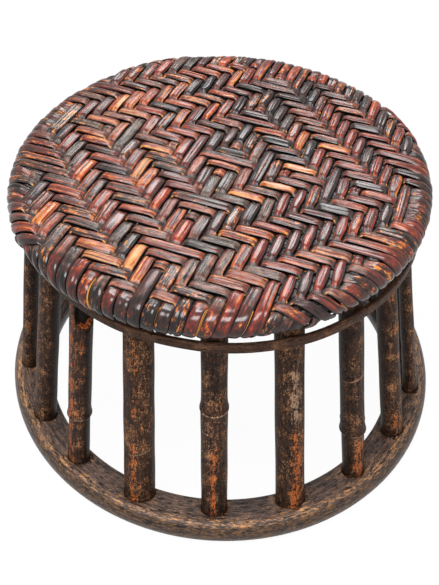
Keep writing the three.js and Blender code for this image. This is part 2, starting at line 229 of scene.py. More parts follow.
# Each vertex carries its place in the grain, in metres, and the triples tone and mark
def newMaterial(name):
    material = bpy.data.materials.new(name)
    material.use_nodes = True
    tree = material.node_tree
    place = addNode(tree, "ShaderNodeAttribute", attribute_name="place").outputs["Vector"]
    parts = []
    for attribute in ("tone", "mark"):
        vector = addNode(tree, "ShaderNodeAttribute", attribute_name=attribute).outputs["Vector"]
        outputs = addNode(tree, "ShaderNodeSeparateXYZ", {0: vector}).outputs
        parts.append([outputs[axis] for axis in "XYZ"])
    return material, tree, tree.nodes["Principled BSDF"], place, *parts


def finishSurface(tree, shader, color, roughness, relief, bump, depth, specular, ior=1.5):
    tree.links.new(color, shader.inputs["Base Color"])
    tree.links.new(roughness, shader.inputs["Roughness"])
    raised = addNode(tree, "ShaderNodeBump", {"Height": relief, "Strength": bump, "Distance": depth})
    tree.links.new(raised.outputs[0], shader.inputs["Normal"])
    shader.inputs["IOR"].default_value = ior
    shader.inputs["Specular IOR Level"].default_value = specular


# Rattan peel of the plaiting

# Scales along, across and through a strip, then detail and strength
caneGrain = dict(
    fibre=((20, 1000, 1), 2.0, 1.0), streak=((10, 330, 1), 2.0, 2.0), patch=((110, 300, 1), 5.0, 1.3),
    crack=((24, 700, 1), 2.0, 1.0), mottle=((200, 380, 1), 6.0, 1.9),
)
rubbedStops = [(0.0, "#6e2d16"), (0.5, "#a34c1b"), (1.0, "#c4803c")]


# Rattan peel, varnished by long use: glossy skin over straight fibres that break the shine into streaks,
# rubbed to orange in patches, black in cracks, with raw cream where it was split, and painted shade along
# the edges. Its tone is lightness, how far out of the plaiting it lies (painted dusty, then black as painted
# shade, where it sinks under), bareness; its mark is polish, rim, and edge for the painted shade there.
def canePeel(name, stops, gloss):
    material, tree, shader, place, tone, mark = newMaterial(name)
    lightness, exposed, bareness = tone
    polish, onRim, edge = mark
    fibre, streak, patch, crack, mottle = [grainNoise(tree, place, *kind) for kind in caneGrain.values()]

    streaky = product(tree, span(tree, onRim, 0.0, 1.0, 1.0, 0.35), span(tree, polish, 0.3, 0.9, 1.0, 0.4))
    picked = total(tree, lightness, (streak, streaky), (patch, 0.8), (fibre, product(tree, streaky, 0.6)),
                   (onRim, -0.06), (mottle, product(tree, onRim, 0.6)))
    color = colorRamp(tree, picked, stops)
    bare = span(tree, total(tree, (patch, 0.6), (mottle, 0.5), (bareness, 0.17), (streak, 0.2)), 0.22, 0.27)
    rubbed = colorRamp(tree, span(tree, total(tree, streak, mottle), -0.4, 0.4), rubbedStops)
    color = blend(tree, product(tree, bare, 0.8), color, rubbed)
    dusty = span(tree, total(tree, patch, mottle), -0.2, 0.3, 0.0, 0.6)
    color = blend(tree, product(tree, span(tree, polish, 0.5, 0.05), dusty), color, "#7f6a5a")
    color = blend(tree, span(tree, crack, -0.11, -0.16, 0.0, 0.9), color, "#0b0706")
    # Painted shade: dark bands along the strip's sides and in its splits
    color = blend(tree, span(tree, edge, 0.2, 0.85, 0.0, 0.88), color, "#181010")
    color = blend(tree, span(tree, bareness, 1.3, 1.7, 0.0, 0.85), color, "#bd8440")
    # Dust and painted shade where the strip sinks into the plaiting: dusty first, then painted black in the
    # deepest parts
    color = blend(tree, span(tree, total(tree, exposed, (patch, 0.4)), 0.15, 0.55), "#382c26", color)
    color = blend(tree, span(tree, exposed, 0.06, 0.3), "#0a0706", color)

    dull = total(tree, (patch, 0.8), (polish, -0.3), span(tree, exposed, 0.3, 1.0, 0.5, 0.0))
    roughness = span(tree, dull, -0.6, 0.5, gloss - 0.06, gloss + 0.24)
    rough = product(tree, span(tree, onRim, 0.0, 1.0, 1.0, 0.6), span(tree, polish, 0.2, 0.9, 1.0, 0.2))
    relief = product(tree, total(tree, (streak, 0.6), (crack, 0.6), (fibre, 0.12)), rough)
    finishSurface(tree, shader, color, roughness, relief, bump=0.7, depth=0.0012, specular=0.35)
    return material


# Warp: russet, golden and charcoal
warpPeel = canePeel("rattanPeelWarp", gloss=0.2, stops=[
    (0.0, "#17100e"), (0.2, "#34241f"), (0.4, "#562721"),
    (0.58, "#783222"), (0.78, "#9f552a"), (0.98, "#b9834d")])
# Weft: redder, a little glossier
weftPeel = canePeel("rattanPeelWeft", gloss=0.19, stops=[
    (0.0, "#140f10"), (0.2, "#2f1e1a"), (0.4, "#501e18"),
    (0.57, "#7b291a"), (0.76, "#a24c20"), (0.98, "#ba7f43")])


# Bark and old wood of the frame

# Pits and dust take shares of the flecks' scale
barkGrain = dict(cloud=(60, 60, 60), pit=0.62, dust=1.6)


# Old wood and bamboo bark: satin dark stain, clouded brown and charcoal, with fine tan and black specks,
# worn to orange where hands and feet rub, and pale where it was scuffed. Its tone is wear, scuffs, and
# stain with painted shade, which darkens it; its mark is the distance from a scratch and its strength.
# Specks are a colour, a share, a threshold.
def oldBark(name, stops, coarse, fine, speckPull, worn, scuffed, grainScale, speckScale, gloss,
            specular=0.1, cloudiness=0.6):
    material, tree, shader, place, tone, mark = newMaterial(name)
    wear, scuff, stainAndShade = tone
    lineDistance, lineStrength, _ = mark
    grain = grainNoise(tree, place, grainScale, 5.0, 1.0)
    cloud = grainNoise(tree, place, barkGrain["cloud"], 4.0, 1.2)
    fleck = grainNoise(tree, place, speckScale, 4.0, 1.1)
    pit = grainNoise(tree, place, [value * barkGrain["pit"] for value in speckScale], 3.0, 1.0)
    dust = grainNoise(tree, place, [value * barkGrain["dust"] for value in speckScale], 2.0, 1.0)

    color = colorRamp(tree, total(tree, 0.43, (grain, 1.7), (cloud, 0.9)), stops)
    for (speckColor, share, threshold), speck in ((coarse, fleck), (fine, dust)):
        dense = total(tree, speck, (cloud, cloudiness), (grain, 0.3), (wear, speckPull))
        color = blend(tree, span(tree, dense, threshold, threshold + 0.07, 0.0, share), color, speckColor)
    mottle = total(tree, (grain, 1.1), (pit, 0.35), (cloud, 0.6), (fleck, 0.6))
    for share, (dark, light) in ((wear, worn), (scuff, scuffed)):
        mask = span(tree, total(tree, mottle, (share, 0.34)), 0.28, 0.38, 0.0, 0.8)
        patchColor = colorRamp(tree, span(tree, total(tree, fleck, pit), -0.28, 0.28),
                               [(0.0, stops[1][1]), (0.35, dark), (1.0, light)])
        color = blend(tree, mask, color, patchColor)
    color = blend(tree, span(tree, pit, -0.05, -0.1, 0.0, 0.88), color, "#0f0a08")
    offLine = calculate(tree, "ABSOLUTE", lineDistance)
    line = product(tree, span(tree, total(tree, offLine, (grain, 0.001)), 0.0011, 0.0004), lineStrength)
    color = blend(tree, product(tree, line, span(tree, fleck, -0.2, 0.05, 0.1, 0.9)), color, scuffed[0])
    # Stain and painted shade darken the bark towards near black
    stainedAndShaded = product(tree, stainAndShade, total(tree, 1.0, (grain, 0.9), (cloud, 0.7)))
    color = blend(tree, stainedAndShaded, color, "#0c0807")

    roughness = span(tree, total(tree, (cloud, 0.6), (fleck, 0.4)), -0.3, 0.3, gloss - 0.12, gloss + 0.14)
    relief = total(tree, (grain, 0.7), fleck, pit)
    finishSurface(tree, shader, color, roughness, relief, bump=0.5, depth=0.0009, specular=specular)
    return material


# Wooden rods: satin dark brown with a fine upright grain
postWood = oldBark(
    "agedHardwood", stops=[(0.0, "#1b110c"), (0.38, "#34231a"), (0.66, "#4c3324"), (1.0, "#6d4329")],
    coarse=("#86593a", 0.55, 0.13), fine=("#a87c58", 0.8, 0.095), speckPull=0.05,
    worn=("#8a3d1a", "#bd6a2c"), scuffed=("#7e6350", "#ab907a"),
    grainScale=(420, 420, 60), speckScale=(640, 640, 400), gloss=0.48)
# Bamboo culms: a little glossier, with paler scuffs
bambooBark = oldBark(
    "agedBamboo", stops=[(0.0, "#1a110d"), (0.38, "#33231b"), (0.66, "#4b3325"), (1.0, "#6a422a")],
    coarse=("#82573a", 0.55, 0.14), fine=("#a87a58", 0.8, 0.105), speckPull=0.05,
    worn=("#8c3d1a", "#bf6b2d"), scuffed=("#94755c", "#c9ab8e"),
    grainScale=(480, 480, 54), speckScale=(640, 640, 380), gloss=0.42)
# Base: grey-brown with gold dashes along the bend
baseBark = oldBark(
    "agedThickRattan", stops=[(0.0, "#272120"), (0.38, "#483b36"), (0.66, "#624f47"), (1.0, "#7d6254")],
    coarse=("#b5814f", 0.85, 0.13), fine=("#8a6a50", 0.6, 0.11), speckPull=0.24,
    worn=("#8f5630", "#c98f50"), scuffed=("#a0693f", "#cd9d70"),
    grainScale=(60, 420, 420), speckScale=(220, 860, 860), gloss=0.34, specular=0.22, cloudiness=0.2)
# Hoop: matte dark brown, its grain along the strip
hoopBark = oldBark(
    "splitCaneHoop", stops=[(0.0, "#211712"), (0.4, "#3b281e"), (0.7, "#523829"), (1.0, "#684832")],
    coarse=("#70503a", 0.5, 0.12), fine=("#7d5b40", 0.5, 0.12), speckPull=0,
    worn=("#6c4228", "#8f6138"), scuffed=("#6b5442", "#8a715b"),
    grainScale=(24, 600, 600), speckScale=(300, 900, 900), gloss=0.5)
# Seat ring: painted nearly black, as painted shade for the depth between the strips
ringWood = oldBark(
    "darkRingWood", stops=[(0.0, "#070505"), (0.4, "#100b09"), (0.75, "#1c1410"), (1.0, "#2c211b")],
    coarse=("#2a1e18", 0.4, 0.1), fine=("#2a1e18", 0.4, 0.1), speckPull=0,
    worn=("#40281a", "#54331f"), scuffed=("#40301f", "#54402f"),
    grainScale=(24, 500, 500), speckScale=(300, 800, 800), gloss=0.75)


# Plaited seat

# Lengths are in metres, angles in degrees, and widths and reaches are shares of a strip's pitch
weave = dict(
    rimRadius=0.190, rimRoll=0.0152, crown=0.0025, edge=0.0008, arch=0.0006, foldRadius=0.0131,
    clearance=0.00002, warpAcross=34, weftAcross=32, pitchTaper=0.12, turn=-22, floatCount=3, diamondWarp=2,
    rollEnd=140, wrapAngle=57, freeRoll=0.0105, halfPitch=0.5, bareReach=0.2, mostStrips=40, circleSteps=20,
    rampLength=0.005, rampPower=2.4, archLength=0.03, joinLength=0.012, stationStep=0.0021, fewestSteps=5,
    bedWidth=1.03, rimWidth=1.035, swellPower=0.7,
)
rimCentre = weave["rimRadius"] - weave["foldRadius"]
rimLevel = seatTop - weave["rimRoll"]
highest = weave["rimRoll"] - weave["clearance"]
# Height of the inner face of a float, and of a strip that dives, over the rim's centre
overHeight = weave["rimRoll"] - weave["crown"] - weave["arch"]
underHeight = overHeight - weave["crown"]
levels = dict(over=overHeight, under=underHeight, free=weave["freeRoll"])
clothEnd = rimCentre + math.radians(weave["rollEnd"]) * weave["foldRadius"]


def warpLine(number):
    even = 2 * rimCentre / weave["warpAcross"] * number
    return even * (1 - weave["pitchTaper"] * even / (2 * rimCentre))


def weftLine(number, v):
    return 2 * rimCentre / weave["weftAcross"] * number * (1 - weave["pitchTaper"] * v / rimCentre)


def acrossLine(family, number, along):
    return warpLine(number) if family == "warp" else weftLine(number, along)


def otherLine(family, number, lateral):
    return weftLine(number, lateral) if family == "warp" else warpLine(number)


# Where a strip's middle meets a circle round the seat's middle
def meetsCircle(family, number, end, radius):
    along = end * radius
    for _ in range(weave["circleSteps"]):
        along = end * math.sqrt(max(0.0, radius ** 2 - acrossLine(family, number, along) ** 2))
    return along


# Whether a strip meets the rim squarely enough to be bound round it
def wraps(family, number, end):
    along = meetsCircle(family, number, end, rimCentre)
    slant = math.degrees(math.atan2(acrossLine(family, number, along), along * end))
    return abs(slant) < weave["wrapAngle"]


def crossingRadius(warp, weft, reach):
    corners = [(a, b) for a in (-reach, reach) for b in (-reach, reach)]
    return max(math.hypot(weftLine(weft + b, warpLine(warp + a)), warpLine(warp + a)) for a, b in corners)


def crosses(warp, weft):
    if crossingRadius(warp, weft, weave["halfPitch"]) < rimCentre:
        return True
    u, v = weftLine(weft, warpLine(warp)), warpLine(warp)
    wrapped = wraps("warp", warp, 1 if u > 0 else -1) and wraps("weft", weft, 1 if v > 0 else -1)
    return wrapped and crossingRadius(warp, weft, weave["bareReach"]) < clothEnd


candidates = range(-weave["mostStrips"], weave["mostStrips"] + 1)
warpNumbers = [n for n in candidates if crossingRadius(n, 0, weave["halfPitch"]) < rimCentre]
weftNumbers = [n for n in candidates if crossingRadius(0, n, weave["halfPitch"]) < rimCentre]
meets = {("warp", n): [m for m in weftNumbers if crosses(n, m)] for n in warpNumbers}
meets.update({("weft", n): [m for m in warpNumbers if crosses(m, n)] for n in weftNumbers})


# A twill over three that turns into diamonds; a strip that isn't bound round the rim ends under the other
def warpOnTop(warp, weft):
    along, across = meets["warp", warp], meets["weft", weft]
    if weft == along[-1] and not wraps("warp", warp, 1):
        return False
    if weft == along[0] and not wraps("warp", warp, -1):
        return False
    if warp == across[-1] and not wraps("weft", weft, 1):
        return True
    if warp == across[0] and not wraps("weft", weft, -1):
        return True
    step = abs(weft) + abs(warp - weave["diamondWarp"])
    return step % (2 * weave["floatCount"]) < weave["floatCount"]


# Takes a point of the flat plaiting, and its height over the rim's centre, to the seat, folded round the rim
def fold(u, v, height):
    reach = math.hypot(u, v)
    azimuth = math.atan2(v, u) + math.radians(weave["turn"])
    angle = max(0.0, reach - rimCentre) / weave["foldRadius"]
    height = min(height, highest)
    radius = min(reach, rimCentre) + height * math.sin(angle)
    z = rimLevel + height * math.cos(angle)
    return Vector((radius * math.cos(azimuth), radius * math.sin(azimuth), z))


# Section of a strip: across from -1 to 1 over the crown, then back along the flat inner face
crownAcross = [-1, -0.93, -0.8, -0.6, -0.4, -0.2, 0, 0.2, 0.4, 0.6, 0.8, 0.93, 1]
innerAcross = [0.9, -0.9]

# A strip's face: lumps (rates along and across, shift, height), edges that take painted shade, and what
# changes on the rim
face = dict(
    lumps=((30, 2.4, 0, 0.0003), (95, 5, 5, 0.00012)), rimPower=1.6, rimSwell=0.05, shingle=0.0006,
    halfWidth=0.005, stripShift=3.7, runShift=0.01,
    edge=(0.7, 1.0), rimEdge=(0.12, 0.08), grooveDepth=0.0012, grooveBreadth=1.2,
    rawEdge=0.82, chipEdge=0.75, chipReach=0.0028, raw=2.0, sunkDustAndShade=0.05, diveDustAndShade=(-0.003, 0.005),
    underRim=dict(share=0.2, start=0.01, full=-0.008),
)


def crownRise(a, run, travelled, flatness):
    power = run["power"] + face["rimPower"] * flatness
    dome = (1 - abs(a) ** power) * (weave["crown"] - weave["edge"]) * run["dome"]
    dome *= 1 + face["rimSwell"] * flatness
    for at, depth, breadth in run["grooves"]:
        dome -= depth * math.exp(-((a - at) / breadth) ** 2)
    lumps = 0
    for along, across, shift, height in face["lumps"]:
        lumps += noise.noise(Vector((travelled * along, a * across, run["seed"] + shift))) * height
    tilt = run["tilt"] * (1 - flatness) + face["shingle"] * flatness
    return weave["edge"] + dome + lumps * (1 - a * a) + tilt * a


# Tones that the strips of a family take, with how often
toneBags = {
    "warp": [(0.08, 2), (0.2, 4), (0.32, 5), (0.44, 6), (0.55, 4), (0.68, 2), (0.8, 1)],
    "weft": [(0.04, 2.6), (0.18, 4), (0.32, 4), (0.44, 4), (0.55, 3), (0.7, 1.8), (0.84, 1.2)],
}
toneSpread = dict(plaited=0.06, free=0.04)
freeTones = [0.16, 0.26, 0.33, 0.37, 0.41, 0.45, 0.5]
# Splits along a run: depth in metres, breadth as a share of the half width
grooveKinds = [[], [], [(0.0005, 0.5)], [(0.0009, 0.16)], [(0.0013, 0.1)], [(0.0006, 0.14), (0.0007, 0.12)]]
grooveReach = 0.5
runWidths = dict(warp=(0.8, 0.98), weft=(0.88, 1.03))
# Limits of a run's random shape, in the order of the draws
runLimits = dict(
    waist=(0.06, 0.24), bow=(-0.08, 0.08), skew=(-0.07, 0.07), tilt=(-0.0006, 0.0006), dome=(0.75, 1.2),
    power=(1.9, 3.0), seed=(0, 100),
)
# What a run picks from, where -1 and 1 are the sides of a strip
runPicks = dict(bare=[0, 0, 0.3, 0.7, 1.1], rawEdge=[0, 0, 0, 0, 0, -1, 1], chip=[0, 0, 0, 0, 0, 0, -1, 1])
mostPolish = 0.8


def makeRun(family, dice, state):
    bag = toneBags[family]
    tone = dice.choices([t for t, _ in bag], [w for _, w in bag])[0]
    tone += dice.uniform(-toneSpread["plaited"], toneSpread["plaited"])
    kind = dice.choice(grooveKinds)
    grooves = [(dice.uniform(-grooveReach, grooveReach), depth, breadth) for depth, breadth in kind]
    width = dice.uniform(*runWidths[family])
    if state == "free":
        tone = dice.choice(freeTones) + dice.uniform(-toneSpread["free"], toneSpread["free"])
    run = dict(state=state, tone=tone, width=width, grooves=grooves)
    run.update({key: dice.uniform(*limits) for key, limits in runLimits.items()})
    run.update({key: dice.choice(picks) for key, picks in runPicks.items()})
    run["polish"] = dice.uniform(0, mostPolish)
    return run


# Parts of the seat that look otherwise in the photograph: two bearings, least distance from the middle
zones = dict(polished=(-45, 100, 0.05), mahogany=(-70, 40, 0.12), rods=(-80, -36, 0.1),
             splitRim=(-165, -85, 0), frontRim=(-165, -15, 0))
mahoganyTones = [0.18, 0.38, 0.42, 0.46, 0.5, 0.55]
splitEdges = [0, 0, -1, 1]


def inZone(name, bearing, reach):
    low, high, least = zones[name]
    return low < bearing < high and reach > least


# Bearing of a run's middle, and its distance from the seat's middle
def whereIs(family, number, run):
    across = acrossLine(family, number, 0)
    along = (run["low"] + run["high"]) / 2
    u, v = (along, across) if family == "warp" else (across, along)
    return turned(math.degrees(math.atan2(v, u)) + weave["turn"]), math.hypot(u, v)


def styleFloat(run, family, spot, dice):
    if inZone("polished", *spot):
        run.update(dome=run["dome"] * 1.15, power=2.0, width=run["width"] - 0.05, waist=run["waist"] + 0.1,
                   polish=min(1.0, run["polish"] + 0.3))
    if inZone("mahogany", *spot):
        run["tone"] = dice.choice(mahoganyTones)
    if family == "weft" and inZone("rods", *spot):
        run.update(dome=1.4, power=1.9, grooves=[], tone=dice.uniform(0.28, 0.48), polish=0.6, bare=0,
                   width=0.84, waist=0.34)


def styleRim(run, spot, dice):
    run["bare"] = min(1.0, run["bare"] + 0.2)
    if inZone("splitRim", *spot):
        run["rawEdge"] = dice.choice(splitEdges)
    elif not inZone("frontRim", *spot):
        run["tone"] -= 0.07


# Where the edge of a strip of the other family crosses the middle of this one
def crossingEdge(family, number, other, side):
    line = other + side * weave["halfPitch"]
    along = otherLine(family, line, acrossLine(family, number, 0))
    return otherLine(family, line, acrossLine(family, number, along))


# Stretches of a strip: over or under what it crosses, or free where it crosses nothing on the rim
def stripRuns(family, number, dice):
    met = meets[family, number]
    runs = []
    low, first = meetsCircle(family, number, -1, clothEnd), crossingEdge(family, number, met[0], -1)
    if wraps(family, number, -1) and first > low:
        runs.append(dict(makeRun(family, dice, "free"), low=low, high=first))
    for other in met:
        top = warpOnTop(number, other) if family == "warp" else not warpOnTop(other, number)
        state = "over" if top else "under"
        if not runs or runs[-1]["state"] != state:
            runs.append(dict(makeRun(family, dice, state), low=crossingEdge(family, number, other, -1)))
        runs[-1]["high"] = crossingEdge(family, number, other, 1)
    for run in runs:
        if run["state"] == "over":
            styleFloat(run, family, whereIs(family, number, run), dice)
    high, last = meetsCircle(family, number, 1, clothEnd), crossingEdge(family, number, met[-1], 1)
    if wraps(family, number, 1) and last < high:
        runs.append(dict(makeRun(family, dice, "free"), low=last, high=high))
    for run in runs:
        if run["state"] == "free":
            styleRim(run, whereIs(family, number, run), dice)
    for before, after in zip(runs, runs[1:]):
        if {before["state"], after["state"]} == {"free", "over"}:
            kept = {key: after[key] for key in ("state", "low", "high", "rawEdge")}
            after.update(before)
            after.update(kept)
    return runs


# A float rises out of each dive beside it, is arched and waisted, and runs on level into a free stretch
def floatStation(station, run, t, before, after):
    length = run["high"] - run["low"]
    phase = t / 2 if after == "free" else t / 2 + 0.5 if before == "free" else t
    up = 1.0
    for state, distance in ((before, length * t), (after, length * (1 - t))):
        if state != "free":
            up = min(up, 1 - (1 - min(1.0, distance / weave["rampLength"])) ** weave["rampPower"])
            if distance < face["chipReach"]:
                station["chip"] = run["chip"]
    arch = weave["arch"] * math.sin(math.pi * t) * min(1.0, length / weave["archLength"])
    swell = math.sin(math.pi * phase) ** weave["swellPower"]
    narrowed = run["width"] - run["waist"] * (1 - swell)
    sway = run["bow"] * math.sin(math.pi * phase) + run["skew"] * math.sin(2 * math.pi * phase)
    # Its wear falls towards each dive: dust and painted shade where the float sinks under
    station.update(height=underHeight + (overHeight - underHeight) * up + arch, sway=sway, bare=run["bare"],
                   width=weave["bedWidth"] + (narrowed - weave["bedWidth"]) * up ** 0.5,
                   wear=face["sunkDustAndShade"] + (1 - face["sunkDustAndShade"]) * up)


# A free stretch lies level with its neighbours and joins the run beside it smoothly
def freeStation(station, run, t, before, after):
    length = run["high"] - run["low"]
    height, wear, share = levels["free"], 1.0, 1.0
    for state, distance in ((before, length * t), (after, length * (1 - t))):
        if state:
            share = smooth(0, weave["joinLength"], distance)
            height = levels[state] + (height - levels[state]) * share
            # Next to a dive the free stretch darkens with dust and painted shade
            if state == "under":
                wear = smooth(*face["diveDustAndShade"], distance)
    joined = "over" in (before, after)
    joinWidth = run["width"] if joined else weave["bedWidth"]
    station.update(height=height, width=joinWidth * (1 - share) + weave["rimWidth"] * share, flatness=share,
                   sway=run["bow"] if joined else run["bow"] * share, wear=wear, bare=run["bare"])


def stripStations(runs):
    stations = []
    for index, run in enumerate(runs):
        before = runs[index - 1]["state"] if index else None
        after = runs[index + 1]["state"] if index < len(runs) - 1 else None
        length = run["high"] - run["low"]
        steps = weave["fewestSteps"]
        if run["state"] != "under":
            steps = max(steps, round(length / weave["stationStep"]))
        for k in range(1 if index else 0, steps + 1):
            t = k / steps
            # A station starts sunk under the other strips, with dust and painted shade there
            station = dict(along=run["low"] + length * t, run=run, width=weave["bedWidth"], sway=0.0,
                           height=underHeight - weave["arch"] * math.sin(math.pi * t),
                           flatness=0.0, wear=face["sunkDustAndShade"], bare=0.0, chip=0)
            if run["state"] == "over":
                floatStation(station, run, t, before, after)
            elif run["state"] == "free":
                freeStation(station, run, t, before, after)
            stations.append(station)
    return stations


def seatPoint(family, number, station, a, rise):
    line = number + (a * station["width"] + station["sway"]) / 2
    lateral = acrossLine(family, line, station["along"])
    u, v = (station["along"], lateral) if family == "warp" else (lateral, station["along"])
    return fold(u, v, station["height"] + rise)


def stripTone(a, station, z):
    run, flatness = station["run"], station["flatness"]
    # Painted shade along the sides, wider on the rim, and in the splits, darker where a split is deeper
    start, full = (limit - inward * flatness for limit, inward in zip(face["edge"], face["rimEdge"]))
    edge = smooth(start, full, abs(a))
    for at, depth, breadth in run["grooves"]:
        dark = min(1.0, depth / face["grooveDepth"])
        edge = max(edge, dark * math.exp(-((a - at) / (face["grooveBreadth"] * breadth)) ** 2))
    bare = station["bare"]
    if flatness > 0.5 and a * run["rawEdge"] > face["rawEdge"] or a * station["chip"] > face["chipEdge"]:
        bare = face["raw"]
    # Painted shade and grime: the tone falls towards the underside of the rim
    under = face["underRim"]
    tone = run["tone"] - under["share"] * smooth(rimLevel + under["start"], rimLevel + under["full"], z)
    # The station's wear carries dust and painted shade where the strip lies low
    return (tone, station["wear"], bare), (max(run["polish"], flatness), flatness, edge)


def stripRows(family, number, seed):
    dice = random.Random(seed)
    stations = stripStations(stripRuns(family, number, dice))
    travelled = dice.uniform(0, 5)
    previous = None
    rows = []
    for station in stations:
        run = station["run"]
        middle = seatPoint(family, number, station, 0, 0)
        travelled += (middle - previous).length if previous is not None else 0
        previous = middle
        rises = [(a, crownRise(a, run, travelled, station["flatness"])) for a in crownAcross]
        apart = seed * face["stripShift"] + run["seed"] * face["runShift"]
        row = []
        for a, rise in rises + [(a, 0) for a in innerAcross]:
            point = seatPoint(family, number, station, a, rise)
            tone, mark = stripTone(a, station, point.z)
            row.append(dict(co=point, place=(travelled, a * face["halfWidth"], apart), tone=tone, mark=mark))
        rows.append(row)
    return rows


families = [("warp", warpNumbers, warpPeel, 100), ("weft", weftNumbers, weftPeel, 200)]
for family, numbers, peel, firstSeed in families:
    for count, number in enumerate(numbers):
        label = f"{count + 1:02d}"
        stoodFor = "seat_ring_and_warp" if family == "warp" else f"weft_strip_{label}"
        strip = sweep(stripRows(family, number, firstSeed + count))
        makePiece(f"{family}_cane_{label}", strip, peel, f"{family}_cane", stoodFor)
print("seat plaited:", len(warpNumbers), "warp and", len(weftNumbers), "weft strips")


# Seat ring under the plaiting

seatRing = dict(roll=0.0092, underside=0.2392, inner=0.1531, bevel=0.0045, rollSteps=12, bevelSteps=5,
                steps=96, stainAndShade=0.3)


# Place in a grain that runs round the stool
def roundPlace(co):
    return (math.atan2(co.y, co.x) * weave["rimRadius"], math.hypot(co.x, co.y), co.z)


def makeSeatRing():
    roll, bevel, inner, underside = (seatRing[key] for key in ("roll", "bevel", "inner", "underside"))
    lowest = math.degrees(math.asin((underside - rimLevel) / roll))
    profile = [(inner, underside)]
    profile += arcPoints((rimCentre, rimLevel), (roll, roll), lowest, 90, seatRing["rollSteps"])
    corner = (inner + bevel, rimLevel + roll - bevel)
    profile += arcPoints(corner, (bevel, bevel), 90, 180, seatRing["bevelSteps"])
    ring = spinProfile(profile, seatRing["steps"])
    paint(ring, roundPlace, lambda co: (0, 0, seatRing["stainAndShade"]))
    makePiece("seat_ring", ring, ringWood, "warp_cane", "seat_ring_and_warp")


makeSeatRing()


# Facts of the posts, measured on the CAD solids

postShape = dict(
    sides=40, footRound=0.0016, ringStep=0.006, topGap=0.002, knuckleRise=0.0011, waver=0.00012,
    tenonRadius=0.005, tenonLength=0.008, tenonEase=0.0002, sliceReach=0.0004, outerShare=0.7,
)
postNames = [f"post_{k:02d}" for k in range(1, 19)]


def postFacts(name):
    low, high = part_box(name)
    points = [v.co for v in nodes[name].data.vertices]

    def level(z):
        near = [p for p in points if abs(p.z - z) < postShape["sliceReach"]]
        centre = sum(near, Vector()) / len(near)
        outer = max((p - centre).length for p in near)
        near = [p for p in near if (p - centre).length > postShape["outerShare"] * outer]
        centre = sum(near, Vector()) / len(near)
        return centre, sum((p - centre).length for p in near) / len(near)

    foot, footRadius = level(low.z)
    head, headRadius = level(high.z - postShape["tenonLength"])
    return dict(foot=foot, footRadius=footRadius, head=head, headRadius=headRadius)


facts = {name: postFacts(name) for name in postNames}


# Leans what stands upright over the origin into the line of a post
def leanMatrix(fact):
    lean = (fact["head"] - fact["foot"]) / (fact["head"].z - fact["foot"].z)
    shear = Matrix.Identity(4)
    shear[0][2], shear[1][2] = lean.x, lean.y
    return Matrix.Translation(fact["foot"]) @ shear @ Matrix.Translation(Vector((0, 0, -fact["foot"].z)))


# Base ring, with a shallow socket round each foot

base = dict(
    radius=0.2134, width=0.039, height=0.024, belly=0.012, shoulder=0.008, heel=0.0075, fall=0.0053,
    lip=0.003, toe=0.0065, ovality=0.0295, heading=104, crownPower=1.3, steps=144,
    socketEase=0.0006, socketFloor=0.015, socketHeight=0.02, socketSides=32, grainRadius=0.2,
)
# Wear, darkening and painted shade of the base; each pair is two distances in metres
baseWear = dict(
    shoulder=0.55, shoulderScuff=0.4, shoulderInset=0.0062, shoulderSpread=0.003,
    side=0.42, sideInset=(0.007, 0.002), sideDarkening=0.55, sideDarkeningFrom=0.2,
    foot=0.3, footFade=(0.0008, 0.008), socketShade=0.75, floorShade=0.85, floorFade=(0.001, 0.009),
)
baseOuter = base["radius"]


def stretchOval(bm, ovality):
    turn = Matrix.Rotation(math.radians(base["heading"]), 4, "Z")
    stretch = Matrix.Diagonal((1 + ovality, 1 - ovality, 1, 1))
    bmesh.ops.transform(bm, matrix=turn @ stretch @ turn.inverted(), verts=bm.verts)


# Distance from the axis before the stretch
def ovalShare(co, ovality):
    turn = math.atan2(co.y, co.x) - math.radians(base["heading"])
    x, y = math.hypot(co.x, co.y) * math.cos(turn), math.hypot(co.x, co.y) * math.sin(turn)
    return math.hypot(x / (1 + ovality), y / (1 - ovality))


# Heel and shoulder outside, a crown that falls inwards, lip and toe inside
def baseProfile():
    heel, belly, shoulder, lip, toe = (base[key] for key in ("heel", "belly", "shoulder", "lip", "toe"))
    inner = baseOuter - base["width"]
    innerTop = base["height"] - base["fall"]
    profile = arcPoints((baseOuter - heel, belly), (heel, belly), -90, 0, 6)
    profile += arcPoints((baseOuter - shoulder, belly), (shoulder, base["height"] - belly), 15, 90, 5)
    crownRadius, crownTop = profile[-1]
    for t in (0.25, 0.5, 0.75):
        profile.append((crownRadius + (inner + lip - crownRadius) * t,
                        crownTop + (innerTop - crownTop) * t ** base["crownPower"]))
    profile += arcPoints((inner + lip, belly), (lip, innerTop - belly), 90, 180, 4)
    profile += arcPoints((inner + toe, belly), (toe, belly), 200, 270, 4)
    return profile


def basePlace(co):
    return (math.atan2(co.y, co.x) * base["grainRadius"], ovalShare(co, base["ovality"]), co.z)


